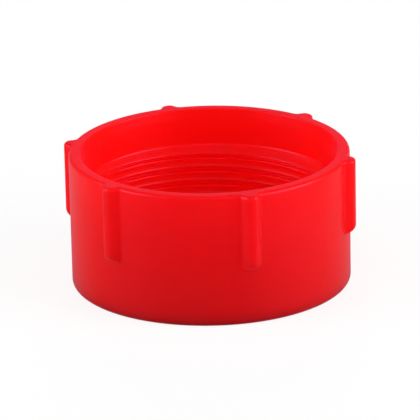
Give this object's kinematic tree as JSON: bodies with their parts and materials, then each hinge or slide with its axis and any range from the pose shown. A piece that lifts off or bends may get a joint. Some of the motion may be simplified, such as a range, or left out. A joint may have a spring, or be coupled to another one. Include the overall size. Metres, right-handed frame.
{
  "type": "threaded protection cap",
  "caption": "Moulded plastic protection cap with an internal thread, a plain lead-in bore and short upright grip ribs round the outside of its mouth.",
  "frame": {"origin": "centre of the underside of the closed end, on the thread axis", "axes": "+Z along the thread axis, from the closed end to the open mouth; one grip rib lies along +X"},
  "size_m": [0.043, 0.0404, 0.0196],
  "materials": {
    "cap_plastic": "satin moulded low-density polyethylene, red through and through"
  },
  "bodies": {
    "root": {"cap": "cap_plastic"}
  },
  "joints": []
}
